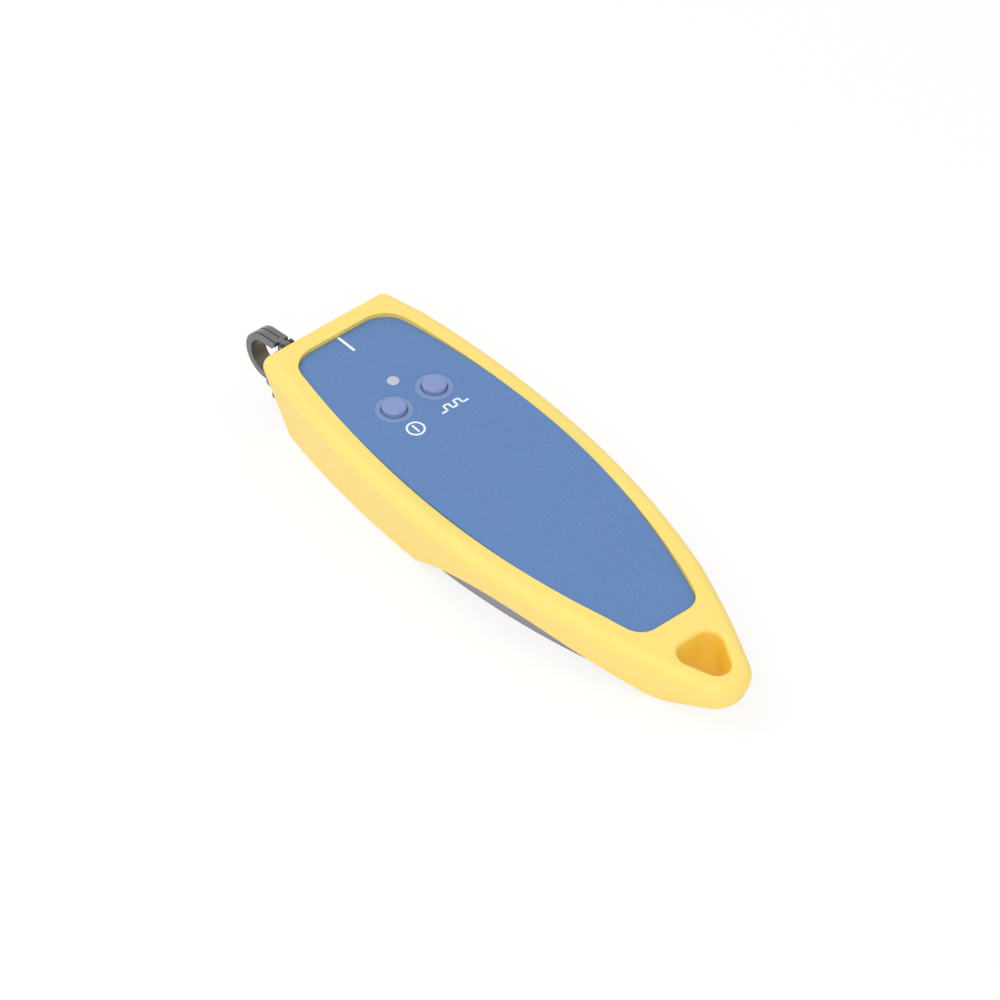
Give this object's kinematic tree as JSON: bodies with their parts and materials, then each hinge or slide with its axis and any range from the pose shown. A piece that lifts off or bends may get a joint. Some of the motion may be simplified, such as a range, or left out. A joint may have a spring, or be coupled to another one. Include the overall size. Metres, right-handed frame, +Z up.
{
  "type": "visual fault locator",
  "caption": "Hand-held visual fault locator for optical fibre: blue casing in a rubber holster with a lanyard hole, push buttons and a hinged dust cover over its laser port.",
  "frame": {"origin": "centre of the flat base, on the underside of the battery door", "axes": "+X from the laser port to the lanyard hole in the tail, +Y to the right seen from above with the port ahead, +Z up through the face with the buttons"},
  "size_m": [0.1584, 0.0494, 0.0247],
  "materials": {
    "holster_rubber": "smooth satin moulded rubber, warm yellow",
    "blue_casing": "fine matte grain, medium blue",
    "grey_casing": "fine matte grain, violet grey",
    "button_silicone": "matte silicone, violet blue",
    "button_plastic": "satin, violet blue",
    "light_pipe": "milky clear, moulded",
    "board_laminate": "green solder mask",
    "black_plastic": "moulded black plastic",
    "steel": "bright zinc-plated steel",
    "led_body": "white moulded body",
    "capacitor_body": "ceramic block, tan",
    "ferrite": "pressed ferrite",
    "nickel_brass": "nickel-plated brass, turned",
    "ceramic": "polished white zirconia",
    "brass": "turned brass",
    "optical_glass": "polished glass",
    "cover_rubber": "black rubber, satin",
    "seal_rubber": "soft black rubber",
    "cell_jacket": "printed plastic jacket over a steel can"
  },
  "bodies": {
    "tool": {"battery_cell_left": "cell_jacket", "battery_cell_right": "cell_jacket", "battery_door": "grey_casing", "board_screws": "steel", "capacitors": "capacitor_body", "case_screws": "steel", "circuit_board": "board_laminate", "contact_bridge": "steel", "contact_plates": "steel", "contact_springs": "steel", "cover_hinge_pin": "steel", "door_screw": "steel", "driver_chip": "black_plastic", "ferrule_sleeve": "ceramic", "focusing_lens": "optical_glass", "holster": "holster_rubber", "indicator_led": "led_body", "indicator_lens": "light_pipe", "inductor": "ferrite", "keypad_mat": "button_silicone", "laser_barrel": "brass", "laser_diode": "steel", "lens_holder": "brass", "lower_casing": "grey_casing", "port_housing": "black_plastic", "port_receptacle": "nickel_brass", "switch_mode": "black_plastic", "switch_power": "black_plastic", "upper_casing": "blue_casing"},
    "power_button": {"button_power": "button_plastic"},
    "mode_button": {"button_mode": "button_plastic"},
    "cover": {"dust_cover": "cover_rubber", "cover_seal": "seal_rubber"}
  },
  "joints": [
    {"name": "power_press", "type": "slide", "parent": "tool", "child": "power_button", "axis": [-0.0338, 0, -0.9994], "range_m": [0, 0.0005], "stiffness_N_per_m": 400},
    {"name": "mode_press", "type": "slide", "parent": "tool", "child": "mode_button", "axis": [-0.0338, 0, -0.9994], "range_m": [0, 0.0005], "stiffness_N_per_m": 400},
    {"name": "cover_hinge", "type": "hinge", "parent": "tool", "child": "cover", "pos_m": [-0.07421, -0.0095, 0.02185], "axis": [0, 1, 0], "range_deg": [0, 110]}
  ]
}
